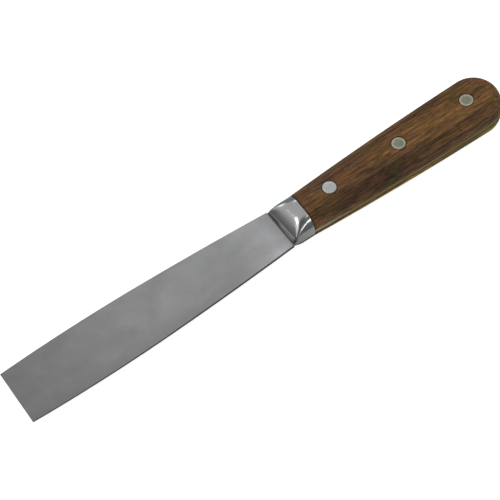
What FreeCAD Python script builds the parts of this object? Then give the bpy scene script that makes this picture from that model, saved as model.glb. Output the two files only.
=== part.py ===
import FreeCAD, Part
import math
import os
import Sketcher

# A full-tang taping knife with a narrow blade. A taper-ground blade has a tang that runs the whole
# length of the handle, a bolster is cast around the waist of the tang, and two wooden scales are
# held on by three cutler's rivets, each a pin half pressed into a sleeve half.
#
# Every body is drawn in the knife's own axes: X = 0 at the bolster's front face with +X towards
# the butt, Y across the knife, and Z = 0 on the blade's mid-plane. Its Placement then carries it
# to the part's frame, whose origin is on the surface that the lower scale rests on, under the
# middle of the knife's length.

DIMENSIONS = {
    # blade and tang
    "blade_length": 125.0,
    "tip_width": 25.4,
    "belly_place": 62.0,
    "belly_width": 26.1,
    "heel_width": 19.4,
    "tip_side_radius": 800.0,
    "heel_side_radius": 1700.0,
    "tip_thickness": 0.8,
    "tang_thickness": 1.6,
    "waist_width": 13.0,
    # handle
    "handle_length": 108.5,
    "handle_thickness": 16.2,
    "neck_width": 18.3,
    "butt_width": 23.2,
    "neck_shoulder": 7.2,
    "butt_shoulder": 5.2,
    "planed_off": 0.02,
    # bolster
    "bolster_length": 10.6,
    "lip_height": 2.2,
    "lip_length": 1.1,
    "scoop_length": 7.2,
    "scoop_edge_radius": 1.0,
    # rivets
    "rivet_first": 24.6,
    "rivet_pitch": 34.4,
    "rivet_head_diameter": 6.0,
    "rivet_head_thickness": 1.8,
    "sleeve_diameter": 4.0,
    "sleeve_bore": 2.8,
    "shank_hole": 4.2,
    "shank_reach": 4.6,
    "pin_chamfer": 0.4,
}

RIVETS = ("front", "middle", "rear")
SCALE_SECTIONS = 4

doc = FreeCAD.newDocument("taping_knife")
sheet = doc.addObject("Spreadsheet::Sheet", "Dim")
for row, (alias, value) in enumerate(DIMENSIONS.items(), start=1):
    sheet.set(f"A{row}", str(value))
    sheet.setAlias(f"A{row}", alias)
doc.recompute()


# ---------------------------------------------------------------- bodies and sketches


def origin_feature(body, role):
    """The body's own origin plane or axis with this role, such as XY_Plane or X_Axis."""
    return next(f for f in body.Origin.OriginFeatures if f.Role == role)


def new_body(label, along="0", turned=False):
    """An empty body, placed in the part's frame. along is how far behind the bolster's front face
    its own origin lies, and turned lays it upside down, as on the lower side of the knife."""
    body = doc.addObject("PartDesign::Body", label)
    body.Label = label
    if turned:
        body.Placement.Rotation = FreeCAD.Rotation(FreeCAD.Vector(1, 0, 0), 180)
    body.setExpression("Placement.Base.x", f"(Dim.blade_length - Dim.handle_length) / 2 + {along}")
    body.setExpression("Placement.Base.z", "Dim.handle_thickness / 2")
    return body


def new_sketch(body, name, plane, offset=None):
    """A sketch on one of the body's origin planes, moved along its normal by an expression."""
    sketch = body.newObject("Sketcher::SketchObject", name)
    sketch.AttachmentSupport = [(origin_feature(body, plane), "")]
    sketch.MapMode = "FlatFace"
    if offset:
        sketch.setExpression("AttachmentOffset.Base.z", offset)
    return sketch


def fix(sketch, constraint, name, expression):
    """Adds a dimension to a sketch and binds it to an expression of the sheet's cells."""
    index = sketch.addConstraint(constraint)
    sketch.renameConstraint(index, name)
    sketch.setExpression(f"Constraints.{name}", expression)


def number(expression):
    """What an expression of the sheet's cells comes to now."""
    return float(sheet.evalExpression(expression))


def arc_between(start, end, radius):
    """The minor arc that turns left on its way from start to end."""
    chord = end - start
    rise = math.sqrt(max(radius**2 - (chord.Length / 2) ** 2, 0))
    to_left = FreeCAD.Vector(-chord.y, chord.x, 0).normalize()
    centre = start + chord * 0.5 + to_left * rise
    first, last = (math.atan2(p.y - centre.y, p.x - centre.x) for p in (start, end))
    if last < first:
        last += 2 * math.pi
    circle = Part.Circle(centre, FreeCAD.Vector(0, 0, 1), radius)
    return Part.ArcOfCircle(circle, first, last)


def outline(sketch, corners, arcs=None):
    """A closed outline, counter-clockwise. corners is a list of (name, x, y), with x and y as
    expressions, and arcs gives the radius of the arc that leaves a named corner."""
    arcs = arcs or {}
    points = [FreeCAD.Vector(number(x), number(y)) for _, x, y in corners]
    segments = []
    for (name, _, _), start, end in zip(corners, points, points[1:] + points[:1]):
        if name in arcs:
            curve = arc_between(start, end, number(arcs[name]))
        else:
            curve = Part.LineSegment(start, end)
        segments.append(sketch.addGeometry(curve, False))
    for one, two in zip(segments, segments[1:] + segments[:1]):
        sketch.addConstraint(Sketcher.Constraint("Coincident", one, 2, two, 1))
    for (name, x, y), point, segment in zip(corners, points, segments):
        fix(sketch, Sketcher.Constraint("DistanceX", -1, 1, segment, 1, point.x), f"{name}_x", x)
        fix(sketch, Sketcher.Constraint("DistanceY", -1, 1, segment, 1, point.y), f"{name}_y", y)
        if name in arcs:
            bend = Sketcher.Constraint("Radius", segment, number(arcs[name]))
            fix(sketch, bend, f"{name}_radius", arcs[name])


def circle_at(sketch, name, x, diameter):
    """A circle on the sketch's horizontal axis."""
    place, width = number(x), number(diameter)
    ring = Part.Circle(FreeCAD.Vector(place, 0, 0), FreeCAD.Vector(0, 0, 1), width / 2)
    index = sketch.addGeometry(ring, False)
    sketch.addConstraint(Sketcher.Constraint("PointOnObject", index, 3, -1))
    fix(sketch, Sketcher.Constraint("DistanceX", -1, 1, index, 3, place), f"{name}_x", x)
    fix(sketch, Sketcher.Constraint("Diameter", index, width), f"{name}_diameter", diameter)


# ---------------------------------------------------------------- features


def pad(body, name, sketch, length, symmetric=False):
    """Material along the sketch's normal, or to both sides of it."""
    feature = body.newObject("PartDesign::Pad", name)
    feature.Profile = sketch
    feature.SideType = "Symmetric" if symmetric else "One side"
    feature.setExpression("Length", length)
    doc.recompute()
    return feature


def pocket(body, name, sketch, side="Symmetric"):
    """A cut through everything, to both sides of the sketch or only along its normal."""
    before = body.Shape.Volume
    feature = body.newObject("PartDesign::Pocket", name)
    feature.Profile = sketch
    feature.SideType = side
    feature.Reversed = side == "One side"
    feature.Type = "ThroughAll"
    doc.recompute()
    assert body.Shape.Volume < before, f"{name} cuts nothing"
    return feature


def revolve(body, name, sketch, axis, angle):
    """Material turned about one of the sketch's own axes, V_Axis or H_Axis."""
    feature = body.newObject("PartDesign::Revolution", name)
    feature.Profile = sketch
    feature.ReferenceAxis = (sketch, [axis])
    feature.Angle = angle
    doc.recompute()
    return feature


def mirror(body, name, feature):
    """The feature again, on the other side of the mid-plane."""
    before = body.Shape.Volume
    copy = body.newObject("PartDesign::Mirrored", name)
    copy.Originals = [feature]
    copy.MirrorPlane = (origin_feature(body, "XY_Plane"), [""])
    body.Tip = copy
    doc.recompute()
    assert body.Shape.Volume < before, f"{name} cuts nothing"


def repeat_at_rivets(body, name, feature):
    """The feature again at each rivet."""
    row = body.newObject("PartDesign::LinearPattern", name)
    row.Originals = [feature]
    row.Direction = (origin_feature(body, "X_Axis"), [""])
    row.Occurrences = len(RIVETS)
    row.setExpression("Length", f"Dim.rivet_pitch * {len(RIVETS) - 1}")
    body.Tip = row
    doc.recompute()


def round_edges(body, name, edges, radius):
    """Fillets the named edges of the body's last feature."""
    base = body.Tip
    feature = body.newObject("PartDesign::Fillet", name)
    feature.Base = (base, edges)
    feature.setExpression("Radius", radius)
    doc.recompute()


# ---------------------------------------------------------------- shared measures

HALF_TANG = "Dim.tang_thickness / 2"
HALF_HANDLE = "Dim.handle_thickness / 2"
# A scale is shaped a little thick, and its face is then planed flat.
ROUGH_HANDLE = "(Dim.handle_thickness / 2 + Dim.planed_off)"
BUTT_CENTRE = "Dim.handle_length - Dim.butt_width / 2"
# The handle's side is one arc from the neck, which lies along X where the round butt begins.
SIDE_RUN = f"({BUTT_CENTRE} - Dim.bolster_length)"
SIDE_FLARE = "((Dim.butt_width - Dim.neck_width) / 2)"
SIDE_RADIUS = f"({SIDE_RUN}^2 + {SIDE_FLARE}^2) / (2 * {SIDE_FLARE})"


def half_width(share):
    """The handle's half width at a share of the way from the neck to the butt's centre."""
    return f"(Dim.butt_width / 2 - {SIDE_FLARE} * {(1 - share) ** 2})"


def shoulder(share):
    """The radius of the handle's rounded shoulders at a share of that way."""
    return f"(Dim.neck_shoulder + (Dim.butt_shoulder - Dim.neck_shoulder) * {share})"


# ---------------------------------------------------------------- blade with its tang


def blade():
    """The blade, its waist inside the bolster and its tang, cut from one strip and taper ground."""
    body = new_body("blade")
    near = [
        ("tip", "-Dim.blade_length", "-Dim.tip_width / 2"),
        ("belly", "-Dim.belly_place", "-Dim.belly_width / 2"),
        ("heel", "0", "-Dim.heel_width / 2"),
        ("waist_front", "0", "-Dim.waist_width / 2"),
        ("waist_rear", "Dim.bolster_length", "-Dim.waist_width / 2"),
        ("neck", "Dim.bolster_length", "-Dim.neck_width / 2"),
        ("butt", BUTT_CENTRE, "-Dim.butt_width / 2"),
    ]
    end = ("end", "Dim.handle_length", "0")
    far = [(f"far_{name}", x, y[1:]) for name, x, y in reversed(near)]
    arcs = {
        "tip": "Dim.tip_side_radius",
        "belly": "Dim.heel_side_radius",
        "neck": SIDE_RADIUS,
        "butt": "Dim.butt_width / 2",
        "end": "Dim.butt_width / 2",
        "far_butt": SIDE_RADIUS,
        "far_heel": "Dim.heel_side_radius",
        "far_belly": "Dim.tip_side_radius",
    }
    plan = new_sketch(body, "blade_plan", "XY_Plane")
    outline(plan, [*near, end, *far], arcs)
    pad(body, "blade_strip", plan, "Dim.tang_thickness", symmetric=True)

    # The ground face falls from the heel to the tip. The wedge that is cut away runs past the tip.
    reach = "-1.1 * Dim.blade_length"
    wedge = new_sketch(body, "taper", "XZ_Plane")
    corners = [
        ("heel", "0", HALF_TANG),
        ("above", "0", "Dim.tang_thickness"),
        ("beyond", reach, "Dim.tang_thickness"),
        ("low", reach, f"{HALF_TANG} - 1.1 * (Dim.tang_thickness - Dim.tip_thickness) / 2"),
    ]
    outline(wedge, corners)
    upper = pocket(body, "upper_grind", wedge)
    mirror(body, "lower_grind", upper)

    hole = new_sketch(body, "shank_hole", "XY_Plane")
    circle_at(hole, "shank", "Dim.rivet_first", "Dim.shank_hole")
    repeat_at_rivets(body, "shank_holes", pocket(body, "front_shank_hole", hole))


# ---------------------------------------------------------------- bolster


def bolster():
    """The collar between blade and handle: the handle's own section, scooped down to a thin lip
    at the blade, above and below, and hollowed for the waist of the tang."""
    body = new_body("bolster")
    side, flat = "Dim.neck_width / 2", "(Dim.neck_width / 2 - Dim.neck_shoulder)"
    face, spring = HALF_HANDLE, f"({HALF_HANDLE} - Dim.neck_shoulder)"
    corners = [
        ("right_low", side, f"-{spring}"),
        ("right_high", side, spring),
        ("top_right", flat, face),
        ("top_left", f"-{flat}", face),
        ("left_high", f"-{side}", spring),
        ("left_low", f"-{side}", f"-{spring}"),
        ("bottom_left", f"-{flat}", f"-{face}"),
        ("bottom_right", flat, f"-{face}"),
    ]
    round_at = ("right_high", "top_left", "left_low", "bottom_right")
    section = new_sketch(body, "bolster_section", "YZ_Plane")
    outline(section, corners, dict.fromkeys(round_at, "Dim.neck_shoulder"))
    pad(body, "bolster_block", section, "Dim.bolster_length")

    slot = new_sketch(body, "waist_slot", "YZ_Plane")
    across = "Dim.waist_width / 2"
    corners = [
        ("low_left", f"-{across}", f"-{HALF_TANG}"),
        ("low_right", across, f"-{HALF_TANG}"),
        ("high_right", across, HALF_TANG),
        ("high_left", f"-{across}", HALF_TANG),
    ]
    outline(slot, corners)
    pocket(body, "waist_hollow", slot)

    profile = new_sketch(body, "scoop", "XZ_Plane")
    corners = [
        ("lip_front", "-1", "Dim.lip_height"),
        ("lip_back", "Dim.lip_length", "Dim.lip_height"),
        ("crest", "Dim.scoop_length", HALF_HANDLE),
        ("above", "Dim.scoop_length", "Dim.handle_thickness"),
        ("ahead", "-1", "Dim.handle_thickness"),
    ]
    outline(profile, corners)
    upper = pocket(body, "upper_scoop", profile)
    mirror(body, "lower_scoop", upper)
    round_edges(body, "buffed_edges", scoop_edges(body.Tip.Shape), "Dim.scoop_edge_radius")


def scoop_edges(shape):
    """The names of the edges where the scoops meet the bolster's outside: those that end at the
    scoops' crests and don't run on behind them."""
    crest = DIMENSIONS["scoop_length"]
    near = 0.01
    return [
        f"Edge{number}"
        for number, edge in enumerate(shape.Edges, start=1)
        if abs(edge.BoundBox.XMax - crest) < near
    ]


# ---------------------------------------------------------------- scales


def scale(label, turned):
    """A wooden scale: lofted along the tang from the neck to the butt's centre, turned through
    half a circle for the round butt, planed flat and counterbored for the rivets."""
    body = new_body(label, turned=turned)

    def half_section(share):
        side, radius = half_width(share), shoulder(share)
        return [
            ("base", side, HALF_TANG),
            ("side", side, f"{ROUGH_HANDLE} - {radius}"),
            ("top", f"{side} - {radius}", ROUGH_HANDLE),
        ]

    sections = []
    for i in range(SCALE_SECTIONS):
        share = i / (SCALE_SECTIONS - 1)
        place = f"Dim.bolster_length + {SIDE_RUN} * {share}"
        section = new_sketch(body, f"section_{i}", "YZ_Plane", place)
        half = half_section(share)
        other = [(f"far_{name}", f"-({x})", z) for name, x, z in reversed(half)]
        outline(section, half + other, dict.fromkeys(("side", "far_top"), shoulder(share)))
        sections.append(section)
    loft = body.newObject("PartDesign::AdditiveLoft", "scale_length")
    loft.Profile = sections[0]
    loft.Sections = sections[1:]
    doc.recompute()

    butt_section = new_sketch(body, "butt_section", "YZ_Plane", BUTT_CENTRE)
    axis_corners = [("axis_top", "0", ROUGH_HANDLE), ("axis_base", "0", HALF_TANG)]
    outline(butt_section, half_section(1) + axis_corners, {"side": shoulder(1)})
    before = body.Shape.Volume
    butt = revolve(body, "round_butt", butt_section, "V_Axis", 180)
    butt.Reversed = True
    doc.recompute()
    assert body.Shape.Volume > before, "the butt adds nothing"

    land = new_sketch(body, "land", "XY_Plane", HALF_HANDLE)
    corners = [
        ("neck_left", "0", "-Dim.butt_width"),
        ("past_butt_left", "Dim.handle_length * 1.1", "-Dim.butt_width"),
        ("past_butt_right", "Dim.handle_length * 1.1", "Dim.butt_width"),
        ("neck_right", "0", "Dim.butt_width"),
    ]
    outline(land, corners)
    pocket(body, "flat_land", land, side="One side")

    centre = new_sketch(body, "rivet_centre", "XY_Plane", HALF_HANDLE)
    circle_at(centre, "rivet", "Dim.rivet_first", "Dim.shank_hole")
    doc.recompute()
    hole = body.newObject("PartDesign::Hole", "front_rivet_hole")
    hole.Profile = centre
    hole.ThreadType = "None"
    hole.DepthType = "ThroughAll"
    hole.HoleCutType = "Counterbore"
    hole.setExpression("Diameter", "Dim.shank_hole")
    hole.setExpression("HoleCutDiameter", "Dim.rivet_head_diameter")
    hole.setExpression("HoleCutDepth", "Dim.rivet_head_thickness")
    doc.recompute()
    repeat_at_rivets(body, "rivet_holes", hole)


# ---------------------------------------------------------------- rivets


def rivet_sleeve(label, along):
    """The sleeve half of a rivet: a head flush with the lower scale, and a tube up to near the
    pin's head."""
    body = new_body(label, along)
    inner, outer, head = "Dim.sleeve_bore / 2", "Dim.sleeve_diameter / 2", "Dim.rivet_head_diameter / 2"
    inside = f"-{HALF_HANDLE} + Dim.rivet_head_thickness"
    corners = [
        ("foot", "0", f"-{HALF_HANDLE}"),
        ("rim", head, f"-{HALF_HANDLE}"),
        ("rim_inside", head, inside),
        ("tube_root", outer, inside),
        ("tube_end", outer, "Dim.shank_reach"),
        ("bore_mouth", inner, "Dim.shank_reach"),
        ("bore_floor", inner, inside),
        ("centre", "0", inside),
    ]
    profile = new_sketch(body, "sleeve_profile", "XZ_Plane")
    outline(profile, corners)
    revolve(body, "sleeve", profile, "V_Axis", 360)


def rivet_pin(label, along):
    """The pin half of a rivet: a head flush with the upper scale, and a pin that is pressed down
    into the sleeve's bore."""
    body = new_body(label, along)
    shank, head = "Dim.sleeve_bore / 2", "Dim.rivet_head_diameter / 2"
    inside = f"{HALF_HANDLE} - Dim.rivet_head_thickness"
    corners = [
        ("point", "0", "-Dim.shank_reach"),
        ("point_rim", f"{shank} - Dim.pin_chamfer", "-Dim.shank_reach"),
        ("shank_end", shank, "-Dim.shank_reach + Dim.pin_chamfer"),
        ("shank_root", shank, inside),
        ("rim_inside", head, inside),
        ("rim", head, HALF_HANDLE),
        ("crown", "0", HALF_HANDLE),
    ]
    profile = new_sketch(body, "pin_profile", "XZ_Plane")
    outline(profile, corners)
    revolve(body, "pin", profile, "V_Axis", 360)


# ---------------------------------------------------------------- assembly and export

blade()
bolster()
scale("upper_scale", turned=False)
scale("lower_scale", turned=True)
for place, name in enumerate(RIVETS):
    along = f"Dim.rivet_first + Dim.rivet_pitch * {place}"
    rivet_sleeve(f"{name}_rivet_sleeve", along)
    rivet_pin(f"{name}_rivet_pin", along)
doc.recompute()

for item in doc.Objects:
    bad = {"Invalid", "Error"} & set(item.State)
    assert not bad, f"{item.Label} is {bad}"

os.makedirs("parts", exist_ok=True)
for body in doc.findObjects("PartDesign::Body"):
    shape = body.Shape
    assert not shape.isNull() and shape.isValid(), f"{body.Label} has no valid shape"
    assert len(shape.Solids) == 1, f"{body.Label} is {len(shape.Solids)} solids"
    shape.exportStep(f"parts/{body.Label}.step")
    print(f"{body.Label}: {shape.Volume:.1f} mm3, {shape.BoundBox}")
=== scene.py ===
import math

import bmesh
import bpy
import numpy as np
from mathutils import Matrix, Vector


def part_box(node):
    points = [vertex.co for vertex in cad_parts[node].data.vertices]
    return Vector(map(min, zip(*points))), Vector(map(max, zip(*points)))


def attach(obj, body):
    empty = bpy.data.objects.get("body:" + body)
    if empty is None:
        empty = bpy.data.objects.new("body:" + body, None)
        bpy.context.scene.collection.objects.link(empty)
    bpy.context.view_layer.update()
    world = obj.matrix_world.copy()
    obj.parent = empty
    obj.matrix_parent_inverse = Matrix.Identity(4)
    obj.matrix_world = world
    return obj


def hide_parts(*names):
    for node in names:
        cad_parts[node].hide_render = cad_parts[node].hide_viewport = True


# A narrow full-tang taping knife: a satin ground blade, a polished bolster scooped down to the
# blade, two rosewood scales and three cutler's rivets. Shapes are worked out in millimetres in
# the knife's own axes: X = 0 at the bolster's front face with +X towards the butt, Y across the
# knife, Z = 0 on the blade's mid-plane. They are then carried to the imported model's frame.

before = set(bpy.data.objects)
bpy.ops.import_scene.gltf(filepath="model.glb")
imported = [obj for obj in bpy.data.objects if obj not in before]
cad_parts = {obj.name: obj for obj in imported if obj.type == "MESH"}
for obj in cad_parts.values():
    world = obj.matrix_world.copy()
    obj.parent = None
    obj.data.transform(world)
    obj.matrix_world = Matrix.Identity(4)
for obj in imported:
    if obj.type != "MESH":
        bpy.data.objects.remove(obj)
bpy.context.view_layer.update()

MM = 0.001
RIVETS = ("front", "middle", "rear")


def size_mm(node):
    """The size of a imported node's box, in millimetres."""
    low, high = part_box(node)
    return (high - low) / MM


bolster_low, bolster_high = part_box("bolster")
blade_low, blade_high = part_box("blade")
FRONT = bolster_low.x
MIDDLE = (bolster_low.z + bolster_high.z) / 2
BOLSTER_LENGTH = size_mm("bolster").x
HALF_NECK = size_mm("bolster").y / 2
HALF_HEIGHT = size_mm("bolster").z / 2
BLADE_LENGTH = (FRONT - blade_low.x) / MM
HANDLE_LENGTH = (blade_high.x - FRONT) / MM
HALF_TANG = size_mm("blade").z / 2
BUTT_RADIUS = size_mm("upper_scale").y / 2
BUTT_CENTRE = HANDLE_LENGTH - BUTT_RADIUS
RIVET_PLACES = [
    (sum(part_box(f"{rivet}_rivet_pin"), Vector()).x / 2 - FRONT) / MM for rivet in RIVETS
]

# The handle's long edges are rounded with a radius that runs from NECK_SHOULDER at the bolster to
# BUTT_SHOULDER at the butt.
NECK_SHOULDER = 7.2
BUTT_SHOULDER = 5.2

# Each side of the blade is two arcs that meet at X = BELLY. The front one is the fuller, so the
# widest place is nearer the tip.
HALF_TIP = 12.7
BELLY = -62.0
HALF_BELLY = 13.05
HALF_HEEL = 9.7
HALF_WAIST = 6.5
TIP_SIDE_RADIUS = 800.0
HEEL_SIDE_RADIUS = 1700.0
HALF_TIP_THICKNESS = 0.4

SHANK_HOLE_RADIUS = 2.1
COUNTERBORE_RADIUS = 3.0
HEAD_THICKNESS = 1.8


def to_row(points):
    """Points of the knife's own axes, in millimetres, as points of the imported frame, in metres."""
    points = np.asarray(points, float) * MM
    return points + np.array([FRONT, 0.0, MIDDLE])


# ---------------------------------------------------------------- mesh helpers


def broken_edge(radius, degrees):
    """Steps around a small rounded edge: how far along it and how far in from the full section."""
    return [(radius * (1 - math.cos(a)), radius * (1 - math.sin(a))) for a in np.radians(degrees)]


def mesh_object(name, points, faces):
    """A closed mesh object from points in the knife's own axes."""
    mesh = bpy.data.meshes.new(name)
    mesh.from_pydata([tuple(p) for p in to_row(points)], [], faces)
    bm = bmesh.new()
    bm.from_mesh(mesh)
    bmesh.ops.remove_doubles(bm, verts=bm.verts, dist=1e-7)
    bmesh.ops.dissolve_degenerate(bm, edges=bm.edges, dist=1e-8)
    bmesh.ops.recalc_face_normals(bm, faces=bm.faces)
    bm.to_mesh(mesh)
    bm.free()
    obj = bpy.data.objects.new(name, mesh)
    bpy.context.scene.collection.objects.link(obj)
    return obj


def skin(rings, capped=True):
    """Points and faces of a skin over closed rings of equal length, with an end cap on each end."""
    count = len(rings[0])
    points = np.concatenate([np.asarray(r, float) for r in rings])
    faces = []
    for i in range(len(rings) - 1):
        a, b = i * count, (i + 1) * count
        for j in range(count):
            k = (j + 1) % count
            faces.append((a + j, a + k, b + k, b + j))
    if capped:
        last = (len(rings) - 1) * count
        faces.append(tuple(range(count - 1, -1, -1)))
        faces.append(tuple(range(last, last + count)))
    return points, faces


def lathe(name, profile, x, steps=96):
    """A solid turned about the vertical line at x. The profile is (radius, z) pairs."""
    turns = [2 * math.pi * i / steps for i in range(steps)]
    rings = [[(x + r * math.cos(a), r * math.sin(a), z) for a in turns] for r, z in profile]
    return mesh_object(name, *skin(rings))


def cut(obj, cutter):
    """Takes the cutter's volume out of the object, and removes the cutter."""
    change = obj.modifiers.new("cut", "BOOLEAN")
    change.operation = "DIFFERENCE"
    change.solver = "EXACT"
    change.object = cutter
    bpy.context.view_layer.update()
    graph = bpy.context.evaluated_depsgraph_get()
    mesh = bpy.data.meshes.new_from_object(obj.evaluated_get(graph), depsgraph=graph)
    obj.modifiers.clear()
    old = obj.data
    obj.data = mesh
    bpy.data.meshes.remove(old)
    mesh.name = obj.name
    bpy.data.objects.remove(cutter)


SHARP_ANGLE = math.radians(32)
NORMAL_WEIGHT = 80


def finish_piece(obj, node, material):
    """Smooth shading, material, and the piece's place in the frame."""
    mesh = obj.data
    mesh.materials.clear()
    mesh.materials.append(material)
    mesh.shade_smooth()
    mesh.set_sharp_from_angle(angle=SHARP_ANGLE)
    weigh = obj.modifiers.new("face_weight", "WEIGHTED_NORMAL")
    weigh.keep_sharp = True
    weigh.weight = NORMAL_WEIGHT
    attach(obj, "root")
    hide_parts(node)


# ---------------------------------------------------------------- blade

BLADE_EDGE = 0.09
PAST_TANG = 3.0


def side_arc(start, end, radius, count):
    """Points on the arc of this radius from start to end that turns left on the way."""
    start, end = np.array(start, float), np.array(end, float)
    chord = end - start
    length = np.linalg.norm(chord)
    left = np.array([-chord[1], chord[0]]) / length
    rise = math.sqrt(max(radius**2 - (length / 2) ** 2, 0))
    centre = (start + end) / 2 + left * rise
    first = math.atan2(*(start - centre)[::-1])
    last = math.atan2(*(end - centre)[::-1])
    if last < first:
        last += 2 * math.pi
    turns = np.linspace(first, last, count)
    return np.stack([centre[0] + radius * np.cos(turns), centre[1] + radius * np.sin(turns)], 1)


def handle_half_width(x):
    """The handle's half width at x, from the neck to the butt's centre."""
    run = BUTT_CENTRE - BOLSTER_LENGTH
    flare = BUTT_RADIUS - HALF_NECK
    radius = (run**2 + flare**2) / (2 * flare)
    return BUTT_RADIUS - radius + math.sqrt(radius**2 - (BUTT_CENTRE - x) ** 2)


def blade_outline():
    """The outline of the blade with its tang, counter-clockwise from the tip's near corner."""
    tip, belly, heel = (-BLADE_LENGTH, -HALF_TIP), (BELLY, -HALF_BELLY), (0, -HALF_HEEL)
    near = list(side_arc(tip, belly, TIP_SIDE_RADIUS, 25))
    near += list(side_arc(belly, heel, HEEL_SIDE_RADIUS, 25)[1:])
    near += [(0, -HALF_WAIST), (BOLSTER_LENGTH, -HALF_WAIST)]
    near += [(x, -handle_half_width(x)) for x in np.linspace(BOLSTER_LENGTH, BUTT_CENTRE, 33)]
    turns = np.linspace(-math.pi / 2, 0, 25)[1:-1]
    near += [(BUTT_CENTRE + BUTT_RADIUS * math.cos(a), BUTT_RADIUS * math.sin(a)) for a in turns]
    far = [(x, -y) for x, y in reversed(near)]
    return np.array(near + [(HANDLE_LENGTH, 0.0)] + far)


def inset(outline, amount):
    """A counter-clockwise outline moved inwards by an amount."""
    ahead = np.roll(outline, -1, 0) - outline
    ahead /= np.linalg.norm(ahead, axis=1)[:, None]
    out = np.stack([ahead[:, 1], -ahead[:, 0]], 1)
    before = np.roll(out, 1, 0)
    share = 1 + (out * before).sum(1)
    return outline - amount * (out + before) / share[:, None]


def half_thickness(x):
    """Half the strip's thickness: even in the handle, ground down evenly to the tip."""
    taper = np.clip(-x / BLADE_LENGTH, 0, 1)
    return HALF_TANG + (HALF_TIP_THICKNESS - HALF_TANG) * taper


def make_blade():
    """The strip with its ground taper and its three shank holes. Its edges are just broken. Each
    broad face is two faces, the blade's and the tang's, that meet across the waist's front."""
    outline = blade_outline()
    levels = broken_edge(BLADE_EDGE, (90, 60, 30, 0))
    rings = []
    for sign, run in ((1, levels), (-1, levels[::-1])):
        for move_in, move_down in run:
            flat = inset(outline, move_in)
            z = sign * (half_thickness(flat[:, 0]) - move_down)
            rings.append(np.column_stack([flat, z]))
    points, faces = skin(rings[::-1], capped=False)
    count = len(outline)
    last = (len(rings) - 1) * count
    corners = [np.abs(outline - (0, y)).sum(1).argmin() for y in (-HALF_WAIST, HALF_WAIST)]
    tang = list(range(corners[0], corners[1] + 1))
    front = list(range(corners[1], count)) + list(range(corners[0] + 1))
    faces += [tuple(reversed(tang)), tuple(reversed(front))]
    faces += [tuple(last + i for i in tang), tuple(last + i for i in front)]
    obj = mesh_object("blade_with_tang", points, faces)
    for place in RIVET_PLACES:
        hole = [(SHANK_HOLE_RADIUS, z) for z in (-PAST_TANG, PAST_TANG)]
        cut(obj, lathe("hole", hole, place, steps=48))
    return obj


# ---------------------------------------------------------------- bolster

# The lip rises from LIP_FOOT at the front face to a bead at LIP_HEIGHT, and the scoop climbs from
# there to the full height at X = CREST. Heights are from the mid-plane.
LIP_HEIGHT = 2.2
LIP_LENGTH = 1.1
LIP_FOOT = 1.25
CREST = 7.2
# The bead's flat width on the centreline and its change per millimetre across the knife.
BEAD_WIDTH = 0.06
BEAD_TAPER = 0.006
# How far the lip's length changes per millimetre across the knife, how far the scoop swells at
# its middle, and how far each side is drawn in at the front.
SCOOP_SKEW = 0.06
SCOOP_BULGE = 0.32
PILLOW = 0.1
# Blend widths: over the bead, in the valley behind it, and between scoop and sides, low and high.
BEAD_BLEND = 0.07
VALLEY_BLEND = 0.08
LOW_BLEND = 0.5
HIGH_BLEND = 3.2
BOLSTER_EDGE = 0.14
# The rings are dense up to X = DENSE_END. The points of a ring are searched for out to
# SEARCH_REACH, by halving, and SIDE_CROWDING draws them towards the sides.
DENSE_END = 2.3
RING_POINTS = 320
SIDE_CROWDING = 0.4
SEARCH_REACH = 14.0
HALVINGS = 40


def smooth_max(a, b, width):
    """The larger of two fields, with a rounded join where they differ by less than the width."""
    reach = np.clip(width - np.abs(a - b), 0, None) / width
    return np.maximum(a, b) + reach**2 * width / 4


def smooth_min(a, b, width):
    """The smaller of two fields, with the same rounded join."""
    return -smooth_max(-a, -b, width)


def above_line(x, z, start, end):
    """How far above the line from start to end a point lies, and how far along it, from 0 to 1."""
    run, rise = end[0] - start[0], end[1] - start[1]
    length = np.hypot(run, rise)
    x, z = x - start[0], z - start[1]
    return (z * run - x * rise) / length, (x * run + z * rise) / length**2


def bolster_field(x, y, z):
    """Below zero inside the bolster: a rounded box along X, its sides a little fuller towards the
    handle, ground down above and below to a thin bead at the blade. The grinding is a little
    askew, so the lip is wider on the near side, and its bead narrower."""
    lip = LIP_LENGTH - SCOOP_SKEW * y
    bead_start = lip - BEAD_WIDTH - BEAD_TAPER * y
    y, z = np.abs(y) + PILLOW * (1 - x / BOLSTER_LENGTH) ** 2, np.abs(z)
    qy, qz = y - (HALF_NECK - NECK_SHOULDER), z - (HALF_HEIGHT - NECK_SHOULDER)
    outside = np.hypot(np.clip(qy, 0, None), np.clip(qz, 0, None))
    box = outside + np.minimum(np.maximum(qy, qz), 0) - NECK_SHOULDER
    facet, along = above_line(x, z, (lip, LIP_HEIGHT), (lip + CREST - LIP_LENGTH, HALF_HEIGHT))
    facet = facet - 4 * SCOOP_BULGE * along * (1 - along)
    front, _ = above_line(x, z, (0.0, LIP_FOOT), (bead_start, LIP_HEIGHT))
    bead = smooth_max(z - LIP_HEIGHT, front, BEAD_BLEND)
    scoop = smooth_min(bead, facet, VALLEY_BLEND)
    share = np.clip((z - LIP_HEIGHT) / (HALF_HEIGHT - LIP_HEIGHT), 0, 1)
    return smooth_max(box, scoop, LOW_BLEND + (HIGH_BLEND - LOW_BLEND) * share)


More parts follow.
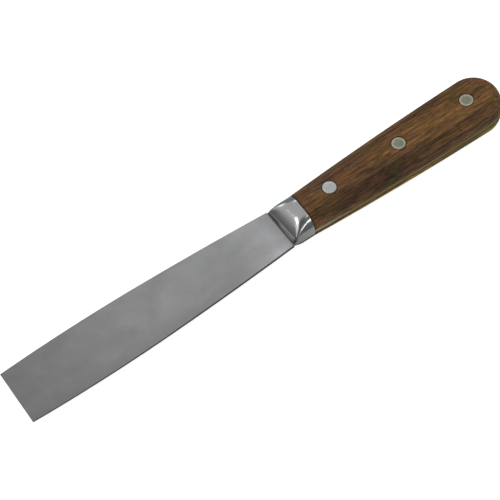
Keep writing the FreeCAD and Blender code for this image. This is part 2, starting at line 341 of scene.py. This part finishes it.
def make_bolster():
    """The collar, from rings along X, closest together over the lip. The points of a ring are
    closest together at the sides, where the lip's end turns. Its end faces have broken edges."""
    even = np.linspace(0, 2 * math.pi, RING_POINTS, endpoint=False)
    turns = even - SIDE_CROWDING * np.sin(2 * even)
    across, upward = np.cos(turns), np.sin(turns)
    ends = broken_edge(BOLSTER_EDGE, (0, 30, 60, 90))
    dense = np.linspace(BOLSTER_EDGE, DENSE_END, 55)[1:]
    rest = np.linspace(DENSE_END, BOLSTER_LENGTH - BOLSTER_EDGE, 76)[1:-1]
    stations = ends + [(x, 0.0) for x in (*dense, *rest)]
    stations += [(BOLSTER_LENGTH - along, inward) for along, inward in reversed(ends)]
    rings = []
    for x, inward in stations:
        low, high = np.zeros(RING_POINTS), np.full(RING_POINTS, SEARCH_REACH)
        for _ in range(HALVINGS):
            mid = (low + high) / 2
            inside = bolster_field(x, mid * across, mid * upward) < -inward
            low, high = np.where(inside, mid, low), np.where(inside, high, mid)
        rings.append(np.column_stack([np.full(RING_POINTS, x), low * across, low * upward]))
    obj = mesh_object("bolster_collar", *skin(rings))
    corners = ((-1, -1), (1, -1), (1, 1), (-1, 1))
    through = (-1.0, BOLSTER_LENGTH + 1)
    slot = [[(x, y * HALF_WAIST, z * HALF_TANG) for y, z in corners] for x in through]
    cut(obj, mesh_object("slot", *skin(slot)))
    return obj


# ---------------------------------------------------------------- scales

SCALE_END_EDGE = 0.12
SCALE_BASE_EDGE = 0.1
BELOW_BASE = -1.0
ABOVE_LAND = 10.0


def half_section(half_width, radius, shrink=0.0):
    """One side of a scale's section, from the middle of its land to the middle of its base."""
    w, h = half_width - shrink, HALF_HEIGHT - shrink
    r = radius - shrink
    base, edge = HALF_TANG + shrink, SCALE_BASE_EDGE
    points = [((w - r) * s, h) for s in np.linspace(0, 1, 5)[:-1]]
    quarter = np.linspace(0, math.pi / 2, 21)
    points += [(w - r + r * math.sin(a), h - r + r * math.cos(a)) for a in quarter]
    points += [(w, base + edge)]
    points += [(w - along, base + inward) for along, inward in broken_edge(edge, (45, 90))]
    points += [((w - edge) * s, base) for s in (0.6, 0.0)]
    return points


def handle_rings():
    """The section of the scale at stations from the bolster to the butt's centre."""
    stations = [(BOLSTER_LENGTH + a, b) for a, b in broken_edge(SCALE_END_EDGE, (0, 30, 60, 90))]
    stations += [(x, 0.0) for x in np.linspace(BOLSTER_LENGTH, BUTT_CENTRE, 49)[1:]]
    rings = []
    for x, shrink in stations:
        share = (x - BOLSTER_LENGTH) / (BUTT_CENTRE - BOLSTER_LENGTH)
        radius = NECK_SHOULDER + (BUTT_SHOULDER - NECK_SHOULDER) * share
        half = half_section(handle_half_width(x), radius, shrink)
        loop = half + [(-y, z) for y, z in reversed(half[1:-1])]
        rings.append([(x, y, z) for y, z in loop])
    return rings


def make_scale(name, turned):
    """A scale: sections along the tang, a round butt, and counterbored holes for the rivets."""
    rings = handle_rings()
    points, faces = skin(rings, capped=False)
    faces.append(tuple(range(len(rings[0]))))

    half = half_section(BUTT_RADIUS, BUTT_SHOULDER)
    turns = np.linspace(0, math.pi, 61)
    butt = [(BUTT_CENTRE + y * math.sin(a), y * math.cos(a), z) for a in turns for y, z in half]
    count = len(half)
    for i in range(len(turns) - 1):
        for j in range(count - 1):
            a = len(points) + i * count + j
            faces.append((a, a + 1, a + count + 1, a + count))
    obj = mesh_object(name, np.concatenate([points, butt]), faces)

    step = HALF_HEIGHT - HEAD_THICKNESS
    bore = [(SHANK_HOLE_RADIUS, z) for z in (BELOW_BASE, step)]
    bore += [(COUNTERBORE_RADIUS, z) for z in (step, ABOVE_LAND)]
    for place in RIVET_PLACES:
        cut(obj, lathe("bore", bore, place))
    if turned:  # half a turn about the knife's own axis
        middle = Matrix.Translation((0, 0, MIDDLE))
        obj.data.transform(middle @ Matrix.Rotation(math.pi, 4, "X") @ middle.inverted())
    return obj


# ---------------------------------------------------------------- rivets

HEAD_RADIUS = 2.97
FACE_RADIUS = 2.85
FACE_DOME = 0.05
# The head's rim: steps of how far in from its radius and how far down from its crown.
RIM_STEPS = ((0.03, 0.08), (0.0, 0.14))
TUBE_RADIUS = 2.0
BORE_RADIUS = 1.4
SHANK_REACH = 4.6
PIN_POINT = 0.4


def head_profile(top):
    """The ground face of a rivet's head, just domed, with a broken rim, for z = top at its crown."""
    sign = math.copysign(1, top)
    steps = (0.0, 0.7, 1.4, 2.1, 2.6, FACE_RADIUS)
    face = [(r, top - sign * FACE_DOME * (r / FACE_RADIUS) ** 2) for r in steps]
    return face + [(HEAD_RADIUS - along, top - sign * down) for along, down in RIM_STEPS]


def make_sleeve(name, x):
    """The lower half of a rivet: a head with a tube standing on it."""
    inside = -HALF_HEIGHT + HEAD_THICKNESS
    profile = head_profile(-HALF_HEIGHT)
    profile += [(HEAD_RADIUS, inside), (TUBE_RADIUS, inside), (TUBE_RADIUS, SHANK_REACH)]
    profile += [(BORE_RADIUS, SHANK_REACH), (BORE_RADIUS, inside), (0.0, inside)]
    return lathe(name, profile, x)


def make_pin(name, x):
    """The upper half of a rivet: a head with a pointed pin that fills the tube."""
    inside = HALF_HEIGHT - HEAD_THICKNESS
    profile = head_profile(HALF_HEIGHT)
    profile += [(HEAD_RADIUS, inside), (BORE_RADIUS, inside), (BORE_RADIUS, PIN_POINT - SHANK_REACH)]
    profile += [(BORE_RADIUS - PIN_POINT, -SHANK_REACH), (0.0, -SHANK_REACH)]
    return lathe(name, profile, x)


# ---------------------------------------------------------------- materials


class Nodes:
    """A material's node tree, with short calls for the nodes that the materials share."""

    def __init__(self, name):
        self.material = bpy.data.materials.new(name)
        self.material.use_nodes = True
        self.tree = self.material.node_tree
        self.tree.nodes.clear()
        self.shader = self.add("ShaderNodeBsdfPrincipled")
        out = self.add("ShaderNodeOutputMaterial")
        self.link(self.shader.outputs[0], out.inputs["Surface"])
        coordinates = self.add("ShaderNodeTexCoord")
        self.place, self.normal = coordinates.outputs["Object"], coordinates.outputs["Normal"]

    def add(self, kind, **settings):
        """A new node with these settings."""
        node = self.tree.nodes.new(kind)
        for key, value in settings.items():
            setattr(node, key, value)
        return node

    def link(self, source, target):
        self.tree.links.new(source, target)

    def stretched(self, scale, shift=(0, 0, 0)):
        """The object's coordinates times a scale for each axis, per metre."""
        node = self.add("ShaderNodeMapping")
        node.inputs["Scale"].default_value = scale
        node.inputs["Location"].default_value = shift
        self.link(self.place, node.inputs["Vector"])
        return node.outputs[0]

    def axis(self, vector, name):
        """One coordinate of a vector."""
        node = self.add("ShaderNodeSeparateXYZ")
        self.link(vector, node.inputs[0])
        return node.outputs[name]

    def noise(self, vector, detail, rough=0.5, distortion=0.0):
        """Fractal noise, mostly between 0.3 and 0.7, with one cell to a unit of the vector."""
        node = self.add("ShaderNodeTexNoise")
        node.inputs["Scale"].default_value = 1.0
        node.inputs["Detail"].default_value = detail
        node.inputs["Roughness"].default_value = rough
        node.inputs["Distortion"].default_value = distortion
        self.link(vector, node.inputs["Vector"])
        return node.outputs["Fac"]

    def ramp(self, value, stops):
        """A colour ramp. stops is a list of (position, colour or grey)."""
        node = self.add("ShaderNodeValToRGB")
        elements = node.color_ramp.elements
        while len(elements) < len(stops):
            elements.new(0.5)
        for element, (position, colour) in zip(elements, stops):
            if not isinstance(colour, tuple):
                colour = (colour,) * 3
            element.position = position
            element.color = (*colour, 1)
        self.link(value, node.inputs[0])
        return node.outputs["Color"]

    def to_range(self, value, low, high, start=0.0, end=1.0):
        """From low to high as the value goes from start to end, and level beyond them."""
        node = self.add("ShaderNodeMapRange")
        limits = {"From Min": start, "From Max": end, "To Min": low, "To Max": high}
        for key, number in limits.items():
            node.inputs[key].default_value = number
        self.link(value, node.inputs["Value"])
        return node.outputs["Result"]

    def mix(self, share, first, second, blend="MIX"):
        """Two colours mixed, or blended. A colour or share can be a socket or a value."""
        node = self.add("ShaderNodeMix", data_type="RGBA", blend_type=blend)
        for key, value in ((0, share), (6, first), (7, second)):
            if isinstance(value, bpy.types.NodeSocket):
                self.link(value, node.inputs[key])
            elif key == 0:
                node.inputs[key].default_value = value
            else:
                node.inputs[key].default_value = (*value, 1)
        return node.outputs[2]

    def math(self, operation, first, second=0.0):
        """The result of a sum on two numbers. Each can be a socket or a value."""
        node = self.add("ShaderNodeMath", operation=operation)
        for key, value in ((0, first), (1, second)):
            if isinstance(value, bpy.types.NodeSocket):
                self.link(value, node.inputs[key])
            else:
                node.inputs[key].default_value = value
        return node.outputs[0]

    def share(self, value, amount):
        """A share of a value."""
        return self.math("MULTIPLY", value, amount)

    def distance(self, centre, size):
        """How far a point is from a centre in the knife's own axes, in ellipsoid radii."""
        centre = to_row(centre)
        scale = [1 / (MM * s) for s in size]
        node = self.add("ShaderNodeVectorMath", operation="LENGTH")
        self.link(self.stretched(scale, [-c * k for c, k in zip(centre, scale)]), node.inputs[0])
        return node.outputs["Value"]

    def patch(self, centre, size, core=0.0):
        """1 at the centre and out to the core's share of these radii, falling to 0 at the radii."""
        return self.to_range(self.distance(centre, size), 1.0, 0.0, start=core)

    def largest(self, *values):
        """The largest of some values."""
        result = values[0]
        for value in values[1:]:
            result = self.math("MAXIMUM", result, value)
        return result

    def bump(self, height, distance, under=None):
        """A normal from a height times a distance in metres, over another bump if there is one."""
        node = self.add("ShaderNodeBump")
        node.inputs["Strength"].default_value = 1.0
        node.inputs["Distance"].default_value = distance
        self.link(height, node.inputs["Height"])
        if under is not None:
            self.link(under, node.inputs["Normal"])
        return node.outputs[0]

    def drive(self, **sockets):
        """Links the shader's inputs, with _ for a space in their names."""
        for name, source in sockets.items():
            self.link(source, self.shader.inputs[name.replace("_", " ")])

    def fix(self, **values):
        """Sets the shader's inputs, with _ for a space in their names."""
        for name, value in values.items():
            self.shader.inputs[name.replace("_", " ")].default_value = value


# A patch is a centre and three radii, in millimetres, in the knife's own axes. ALL_HEIGHTS is a
# radius that takes it through the whole knife.
ALL_HEIGHTS = 50
# The blade's colour from the tip, 0, to the bolster, 1: partly the steel's own tone and partly
# painted reflection, brightest just in front of the bolster, where a painted reflection of it lies.
STEEL_AND_REFLECTION_ALONG = (
    (0.0, (0.415, 0.408, 0.403)),
    (0.2, (0.490, 0.481, 0.475)),
    (0.45, (0.590, 0.578, 0.571)),
    (0.68, (0.585, 0.573, 0.565)),
    (0.84, (0.660, 0.647, 0.636)),
    (0.945, (0.80, 0.782, 0.77)),
    (0.98, (0.70, 0.686, 0.676)),
    (1.0, (0.60, 0.588, 0.58)),
)
# Patches over it, with their strengths and colours. The blade is darker along its near side, there
# is painted shade over the heel's far side, and a painted reflection brightens the heel's near side.
STEEL_TONE_AND_LIGHT_PATCHES = (
    ((-82, -15, 0), (95, 9, ALL_HEIGHTS), 0.45, (0.30, 0.30, 0.30)),
    ((-4, 10, 0), (12, 8, ALL_HEIGHTS), 0.4, (0.42, 0.41, 0.405)),
    ((-6, -9, 0), (9, 4, ALL_HEIGHTS), 0.5, (1.0, 0.98, 0.97)),
)
# Painted shade on the blade's edge faces.
STEEL_EDGE_SHADE = (0.12, 0.12, 0.115)
# A painted shadow and reflection of the bolster's front face, a dark line on the blade at the
# bolster.
STEEL_BOLSTER_SHADOW = (0.03, 0.03, 0.03)
BOLSTER_SHADOW_REACH = 0.6
# The tang's edge is brown from the bolster's back on, and rubbed paler there.
TANG_DARK, TANG_LIGHT = (0.30, 0.22, 0.062), (0.60, 0.465, 0.17)
TANG_RUBBED = (0.78, 0.73, 0.56)
BROWN_FROM, BROWN_FULL = 10.2, 10.8
RUBBED_FULL, RUBBED_END = 11, 28


def blade_steel():
    """Satin ground steel: cloudy, with very fine grinding lines across the blade, and painted
    reflection along its length and at its heel. The tang's edge between the scales is browned and
    dull, the blade's edge faces get painted shade, and a painted shadow of the bolster lies on the
    blade at its foot."""
    n = Nodes("blade_steel")
    n.fix(Metallic=1.0)
    cloud = n.noise(n.stretched((60, 80, 60)), detail=6, rough=0.62, distortion=0.5)
    lines = n.noise(n.stretched((5200, 160, 160)), detail=3)
    x = n.axis(n.place, "X")
    # Partly the steel's own tone and partly painted reflection along the blade.
    base = n.ramp(n.to_range(x, 0.0, 1.0, start=blade_low.x, end=FRONT), STEEL_AND_REFLECTION_ALONG)
    base = n.mix(1.0, base, n.ramp(cloud, [(0.3, 0.80), (0.7, 1.02)]), "MULTIPLY")
    # A darker near side, then painted shade and a painted reflection at the heel.
    for centre, size, strength, colour in STEEL_TONE_AND_LIGHT_PATCHES:
        base = n.mix(n.share(n.patch(centre, size), strength), base, colour)
    base = n.mix(0.14, base, n.ramp(lines, [(0.35, 0.75), (0.65, 1.0)]), "MULTIPLY")
    # The edge faces, turned sideways, get painted shade.
    edge = n.to_range(n.math("ABSOLUTE", n.axis(n.normal, "Z")), 1.0, 0.0, start=0.2, end=0.8)
    base = n.mix(edge, base, STEEL_EDGE_SHADE)
    rubbed = n.to_range(x, 1.0, 0.0, start=FRONT + RUBBED_FULL * MM, end=FRONT + RUBBED_END * MM)
    brown = n.mix(rubbed, n.mix(cloud, TANG_DARK, TANG_LIGHT), TANG_RUBBED)
    tang = n.to_range(x, 0.0, 1.0, start=FRONT + BROWN_FROM * MM, end=FRONT + BROWN_FULL * MM)
    base = n.mix(tang, base, brown)
    # Painted shadow of the bolster's front face on the blade.
    from_bolster = n.math("ABSOLUTE", n.math("SUBTRACT", x, FRONT))
    bolster_shadow = n.to_range(from_bolster, 0.9, 0.0, end=BOLSTER_SHADOW_REACH * MM)
    n.drive(Base_Color=n.mix(bolster_shadow, base, STEEL_BOLSTER_SHADOW))
    n.drive(Roughness=n.to_range(cloud, 0.46, 0.34, start=0.3, end=0.7))
    n.drive(Normal=n.bump(lines, 0.000003))
    return n.material


POLISH_DARK, POLISH_LIGHT = (0.70, 0.70, 0.69), (0.78, 0.78, 0.77)
# Painted shade on the bolster: a band along the lip where it meets the blade, the near side, and the
# lip's near end.
BOLSTER_SHADE = (0.22, 0.22, 0.215)
LIP_SHADE_FULL, LIP_SHADE_END = 0.5, 1.5
NEAR_SIDE_SHADE = ((0, -9.3, 0), (11, 2.6, 14))
NEAR_LIP_SHADE = ((1.4, -8.9, 2.6), (1.8, 1.5, 2.0))
# The near end of the lip gets painted shade, almost black.
CORNER_SHADE = ((0.9, -8.8, 1.8), (1.5, 1.5, 1.8))
CORNER_SHADE_BLACK = (0.06, 0.06, 0.06)


def bolster_metal():
    """Polished cast metal, with a slight waviness and hairline scratches from the buffing wheel, and
    painted shade along the lip where it meets the blade, over the near side and around the lip's
    near end."""
    n = Nodes("bolster_metal")
    n.fix(Metallic=1.0)
    wave = n.noise(n.stretched((260, 260, 260)), detail=2)
    hairs = n.noise(n.stretched((900, 7000, 7000)), detail=3)
    base = n.ramp(wave, [(0.3, POLISH_DARK), (0.7, POLISH_LIGHT)])
    skew = n.math("MULTIPLY", n.axis(n.place, "Y"), SCOOP_SKEW)
    from_lip = n.math("ADD", n.axis(n.place, "X"), skew)
    # Painted shade along the lip, over the near side and around the lip's near end.
    start, end = FRONT + LIP_SHADE_FULL * MM, FRONT + LIP_SHADE_END * MM
    lip = n.to_range(from_lip, 0.85, 0.0, start=start, end=end)
    near_side_shade = n.share(n.patch(*NEAR_SIDE_SHADE), 0.6)
    base = n.mix(n.largest(lip, near_side_shade, n.patch(*NEAR_LIP_SHADE, core=0.3)), base, BOLSTER_SHADE)
    n.drive(Base_Color=n.mix(n.patch(*CORNER_SHADE, core=0.3), base, CORNER_SHADE_BLACK))
    n.drive(Roughness=n.to_range(hairs, 0.12, 0.2, start=0.3, end=0.7))
    n.drive(Normal=n.bump(hairs, 0.0000008, under=n.bump(wave, 0.00001)))
    return n.material


# The radii of an ellipsoid so tall that distance from its centre is distance from an upright line.
UPRIGHT_LINE = (1, 1, 1000)
# How far from a rivet's centre its speckled middle ends, its rim turns paler and its edge gets
# painted shade.
SPECKLE_END, PALE_RIM_FROM = 1.7, 2.6
EDGE_SHADE_FROM, EDGE_SHADE_END = 2.74, 2.9
RIVET_EDGE_SHADE = (0.05, 0.035, 0.02)


def rivet_metal(name, place, centre, rim):
    """A rivet's ground face: fine lines one way over a speckled centre, a paler rim, and painted
    shade at its edge where it meets the wood.
    """
    n = Nodes(name)
    n.fix(Metallic=1.0)
    lines = n.noise(n.stretched((500, 9000, 500)), detail=3)
    speckle = n.noise(n.stretched((1500, 1500, 1500)), detail=3, rough=0.7)
    radius = n.distance((place, 0, 0), UPRIGHT_LINE)
    wobble = n.math("ADD", radius, n.to_range(speckle, -0.7, 0.7))
    base = n.mix(n.to_range(wobble, 0.0, 1.0, start=SPECKLE_END, end=PALE_RIM_FROM), centre, rim)
    base = n.mix(1.0, base, n.ramp(speckle, [(0.3, 0.8), (0.65, 1.08)]), "MULTIPLY")
    base = n.mix(0.5, base, n.ramp(lines, [(0.3, 0.85), (0.7, 1.05)]), "MULTIPLY")
    # The head's edge gets painted shade where it meets the wood.
    edge = n.to_range(radius, 0.0, 0.85, start=EDGE_SHADE_FROM, end=EDGE_SHADE_END)
    n.drive(Base_Color=n.mix(edge, base, RIVET_EDGE_SHADE))
    n.drive(Roughness=n.to_range(lines, 0.34, 0.46, start=0.3, end=0.7))
    n.drive(Normal=n.bump(lines, 0.000004))
    return n.material


# The wood's colours, from its darkest tone to its lightest.
WOOD_TONES = (
    (0.36, (0.036, 0.020, 0.009)),
    (0.46, (0.088, 0.045, 0.017)),
    (0.55, (0.168, 0.083, 0.027)),
    (0.70, (0.33, 0.162, 0.045)),
)
WOOD_REDDISH = (0.135, 0.046, 0.030)
WOOD_OLIVE = (0.070, 0.050, 0.012)
WOOD_PURPLE = (0.080, 0.044, 0.034)
WOOD_PORE = (0.012, 0.008, 0.004)
WOOD_GRIME_AND_SHADE = (0.010, 0.007, 0.004)
# Patches along the grain: the gold ones partly the wood's figure and partly painted light along the
# middle of the face, the purple one the wood's own colour, and the dark ones painted shade on the
# handle's rounded sides.
GOLD_AND_LIT_BAND = ((78, -0.3, 8), (44, 7.5, 30))
GOLD_AND_LIT_NECK = ((28, -2.0, 8), (20, 5, 30))
PURPLE_BAND = ((22, 7.0, 8), (26, 6.5, 30))
SIDE_SHADE_BANDS = (
    ((40, -7.5, 6), (34, 6, 30)),
    ((60, -12.0, 4), (70, 5.5, 30)),
    ((40, 11.0, 6), (60, 3.5, 30)),
    ((10, -10.0, -3), (36, 5, 5)),
)
# How far grime and painted shade reach from the bolster and from the tang, and where they lie around
# a rivet.
BOLSTER_GRIME_AND_SHADE_END = 0.9
TANG_GRIME_AND_SHADE_REACH = 0.45
RING_FULL, RING_END = 3.05, 3.5


def wood_grime_and_gap_shade(n):
    """How grimy and shaded the wood is: grime and painted shade in the seams at the bolster and the
    tang, and around the rivets.
    """
    end = FRONT + BOLSTER_LENGTH * MM
    height = n.math("ABSOLUTE", n.math("SUBTRACT", n.axis(n.place, "Z"), MIDDLE))
    seam_end = (HALF_TANG + TANG_GRIME_AND_SHADE_REACH) * MM
    places = [
        n.to_range(n.axis(n.place, "X"), 1.15, 0.0, start=end, end=end + BOLSTER_GRIME_AND_SHADE_END * MM),
        n.to_range(height, 1.0, 0.0, start=HALF_TANG * MM, end=seam_end),
    ]
    for x in RIVET_PLACES:
        radius = n.distance((x, 0, 0), UPRIGHT_LINE)
        places.append(n.to_range(radius, 1.0, 0.0, start=RING_FULL, end=RING_END))
    return n.largest(*places)


def rosewood(name, shift, painted_light_tint):
    """Oiled rosewood: golden bands, partly painted light along the face's middle, and dark olive and
    reddish patches along the grain, short dark streaks, fibres and open pores, with painted shade on
    the handle's rounded sides, grime and painted shade in the seams and around the rivets, and a
    tint that paints the lower scale lighter."""
    n = Nodes(name)
    figure = n.noise(n.stretched((18, 150, 120), shift), detail=3, rough=0.55, distortion=0.5)
    streaks = n.noise(n.stretched((46, 1250, 950), shift), detail=5, rough=0.72, distortion=0.3)
    dashes = n.noise(n.stretched((150, 2300, 1900), shift), detail=3, rough=0.6, distortion=0.4)
    fibres = n.noise(n.stretched((420, 5200, 4000), shift), detail=3, rough=0.6)
    blotch = n.noise(n.stretched((95, 190, 150), shift), detail=4, rough=0.6)
    pores = n.noise(n.stretched((420, 3600, 3000), shift), detail=1)

    # Painted light along the face's middle and painted shade on the handle's sides are mixed into
    # the tone.
    gold_and_light = n.largest(n.patch(*GOLD_AND_LIT_BAND), n.share(n.patch(*GOLD_AND_LIT_NECK), 0.5))
    dark = n.largest(*(n.patch(*band) for band in SIDE_SHADE_BANDS))
    tone = n.math("ADD", n.share(figure, 0.40), n.share(streaks, 0.60))
    tone = n.math("ADD", tone, n.share(gold_and_light, 0.13))
    tone = n.math("SUBTRACT", tone, n.share(dark, 0.08))
    base = n.ramp(tone, WOOD_TONES)
    reddish = n.ramp(blotch, [(0.48, 0.0), (0.60, 1.0)])
    base = n.mix(n.share(reddish, 0.34), base, WOOD_REDDISH)
    olive = n.ramp(blotch, [(0.36, 1.0), (0.48, 0.0)])
    base = n.mix(n.share(olive, 0.4), base, WOOD_OLIVE)
    base = n.mix(n.share(n.patch(*PURPLE_BAND), 0.6), base, WOOD_PURPLE)
    # The tint paints the lower scale lighter: painted light.
    base = n.mix(1.0, base, painted_light_tint, "MULTIPLY")
    base = n.mix(1.0, base, n.ramp(dashes, [(0.36, 0.42), (0.50, 1.0), (0.64, 1.25)]), "MULTIPLY")
    base = n.mix(1.0, base, n.ramp(fibres, [(0.35, 0.72), (0.62, 1.15)]), "MULTIPLY")
    pit = n.ramp(pores, [(0.29, 1.0), (0.35, 0.0)])
    base = n.mix(n.share(pit, 0.7), base, WOOD_PORE)
    # Grime and painted shade in the seams and around the rivets.
    n.drive(Base_Color=n.mix(n.share(wood_grime_and_gap_shade(n), 0.85), base, WOOD_GRIME_AND_SHADE))
    n.drive(Roughness=n.to_range(streaks, 0.45, 0.6, start=0.3, end=0.7))
    n.drive(Normal=n.bump(n.math("SUBTRACT", n.share(fibres, 0.3), pit), 0.00006))
    n.fix(Specular_IOR_Level=0.2)
    return n.material


def pale_floor():
    """A matt floor that glows enough to stay almost white."""
    n = Nodes("floor")
    speckle = n.noise(n.stretched((30, 30, 30)), detail=4)
    n.drive(Base_Color=n.ramp(speckle, [(0.3, 0.60), (0.7, 0.62)]))
    n.fix(Roughness=0.9, Specular_IOR_Level=0.1, Emission_Color=(1, 1, 1, 1), Emission_Strength=0.88)
    return n.material


# ---------------------------------------------------------------- the object

# A scale's side, whether it is turned over, where its grain is taken from, and its tint, which
# paints the lower scale lighter as painted light bounced from the floor.
SCALES = (
    ("upper", False, (0.0, 0.0, 0.0), (1.0, 1.0, 1.0)),
    ("lower", True, (3.1, 1.7, 5.3), (1.5, 1.85, 1.2)),
)
# The colours of a rivet's centre and rim.
GREY = ((0.83, 0.83, 0.80), (0.92, 0.91, 0.88))
GREEN = ((0.43, 0.445, 0.29), (0.82, 0.76, 0.59))

finish_piece(make_blade(), "blade", blade_steel())
finish_piece(make_bolster(), "bolster", bolster_metal())
for side, turned, shift, painted_light_tint in SCALES:
    wood = rosewood(f"{side}_rosewood", shift, painted_light_tint)
    finish_piece(make_scale(f"{side}_wood", turned), f"{side}_scale", wood)
for rivet, place, tones in zip(RIVETS, RIVET_PLACES, (GREY, GREEN, GREEN)):
    ground = rivet_metal(f"{rivet}_rivet_metal", place, *tones)
    pin, sleeve = make_pin(f"{rivet}_pin", place), make_sleeve(f"{rivet}_sleeve", place)
    finish_piece(pin, f"{rivet}_rivet_pin", ground)
    finish_piece(sleeve, f"{rivet}_rivet_sleeve", ground)

# ---------------------------------------------------------------- floor, light and camera

FLOOR_REACH = 3.0

floor_mesh = bpy.data.meshes.new("floor")
bm = bmesh.new()
bmesh.ops.create_grid(bm, x_segments=8, y_segments=8, size=FLOOR_REACH)
bm.to_mesh(floor_mesh)
bm.free()
floor = bpy.data.objects.new("floor", floor_mesh)
floor.data.materials.append(pale_floor())
bpy.context.scene.collection.objects.link(floor)
floor.visible_glossy = False

world = bpy.data.worlds.new("studio")
bpy.context.scene.world = world
world.use_nodes = True

# The room that the metal reflects: a grey above the horizon and one below it, with soft round
# patches over them, each of a direction, inner and outer radius in degrees, and colour.
ROOM_ABOVE = (0.42, 0.42, 0.42)
ROOM_BELOW = (0.35, 0.352, 0.335)
ROOM_PATCHES = (
    ((0.25, 0.93, 0.25), 20, 32, (0.15, 0.20, 0.23)),
    ((0.22, -0.97, 0.04), 17, 30, (0.12, 0.125, 0.14)),
    ((0.2, -0.62, 0.78), 8, 18, (0.1, 0.1, 0.1)),
    ((-0.3, -0.35, 0.88), 14, 26, (0.1, 0.1, 0.1)),
    ((-0.62, -0.6, 0.5), 14, 24, (0.1, 0.1, 0.1)),
    ((-0.9, 0.43, -0.05), 7, 24, (0.11, 0.11, 0.11)),
    ((-0.35, -0.45, -0.82), 16, 33, (0.12, 0.12, 0.12)),
    ((0.22, 0.2, -0.95), 18, 34, (0.06, 0.06, 0.06)),
    ((-0.28, 0.46, -0.85), 14, 28, (0.05, 0.05, 0.05)),
)
HORIZON_BLUR = 0.06


def studio_walls(tree):
    """Paints the room on the world's background."""
    nodes, links = tree.nodes, tree.links
    toward = nodes.new("ShaderNodeTexCoord").outputs["Generated"]

    def soft_step(source, start, end):
        """From 0 to 1 as the source goes from start to end."""
        step = nodes.new("ShaderNodeMapRange")
        step.interpolation_type = "SMOOTHSTEP"
        step.inputs["From Min"].default_value = start
        step.inputs["From Max"].default_value = end
        links.new(source, step.inputs["Value"])
        return step.outputs["Result"]

    def over(share, lower, colour):
        """A colour laid over what is below it."""
        mix = nodes.new("ShaderNodeMix")
        mix.data_type = "RGBA"
        links.new(share, mix.inputs[0])
        if isinstance(lower, tuple):
            mix.inputs[6].default_value = (*lower, 1)
        else:
            links.new(lower, mix.inputs[6])
        mix.inputs[7].default_value = (*colour, 1)
        return mix.outputs[2]

    split = nodes.new("ShaderNodeSeparateXYZ")
    links.new(toward, split.inputs[0])
    above = soft_step(split.outputs["Z"], -HORIZON_BLUR, HORIZON_BLUR)
    result = over(above, ROOM_BELOW, ROOM_ABOVE)
    for direction, inner, outer, colour in ROOM_PATCHES:
        dot = nodes.new("ShaderNodeVectorMath")
        dot.operation = "DOT_PRODUCT"
        dot.inputs[1].default_value = Vector(direction).normalized()
        links.new(toward, dot.inputs[0])
        edge, core = math.cos(math.radians(outer)), math.cos(math.radians(inner))
        result = over(soft_step(dot.outputs["Value"], edge, core), result, colour)
    links.new(result, nodes["Background"].inputs["Color"])


studio_walls(world.node_tree)


def area_light(name, toward, distance, width, height, power, colour=(1, 1, 1)):
    """A soft box seen from the knife in a direction, facing the knife."""
    data = bpy.data.lights.new(name, "AREA")
    data.shape = "RECTANGLE"
    data.size, data.size_y = width, height
    data.energy = power
    data.color = colour
    lamp = bpy.data.objects.new(name, data)
    back = Vector(toward).normalized()
    lamp.location = back * distance
    lamp.rotation_euler = back.to_track_quat("Z", "Y").to_euler()
    bpy.context.scene.collection.objects.link(lamp)
    return lamp


# Soft boxes: direction, distance, width and height in metres, power in watts, and colour.
LIGHTS = {
    "near_strip": ((0.3, -0.8, 0.52), 1.2, 1.1, 0.16, 1.2),
    "left_box": ((-0.84, 0.18, 0.47), 1.2, 0.35, 0.32, 0.12),
    "left_top_box": ((-0.68, 0.08, 0.72), 1.2, 0.35, 0.3, 0.2),
    "left_crest_box": ((-0.56, 0.21, 0.79), 1.2, 0.3, 0.3, 0.75),
    "overhead": ((0.22, -0.26, 0.93), 1.5, 0.4, 0.16, 0.22),
    "far_window": ((0.25, 0.63, 0.74), 1.5, 0.6, 0.2, 0.45, (0.75, 0.86, 1.0)),
    "far_left_window": ((-0.3, 0.83, 0.45), 1.5, 0.6, 0.25, 0.5, (0.82, 0.85, 1.0)),
}
for name, light in LIGHTS.items():
    area_light(name, *light)
key = area_light("key", (0.1, 0.25, 1.0), 3.0, 3.0, 3.0, 50)
key.visible_glossy = False

# The camera looks at AIM, in the knife's own axes, from CAMERA_DISTANCE metres away.
AIM = (-15.2, -0.33, 0.0)
AZIMUTH, ELEVATION, ROLL = (math.radians(angle) for angle in (-25.13, 59.40, -10.57))
CAMERA_DISTANCE = 0.764
LENS = 137.5

flat = math.cos(ELEVATION)
back = Vector((math.sin(AZIMUTH) * flat, -math.cos(AZIMUTH) * flat, math.sin(ELEVATION)))
level = Vector((0, 0, 1)).cross(back).normalized()
upright = back.cross(level)
right = level * math.cos(ROLL) + upright * math.sin(ROLL)
up = back.cross(right)
camera_data = bpy.data.cameras.new("camera")
camera_data.lens = LENS
camera = bpy.data.objects.new("camera", camera_data)
turn = Matrix((right, up, back)).transposed().to_4x4()
camera.matrix_world = Matrix.Translation(Vector(to_row(AIM)) + back * CAMERA_DISTANCE) @ turn
bpy.context.scene.collection.objects.link(camera)
bpy.context.scene.camera = camera
bpy.context.scene.view_settings.view_transform = "Standard"
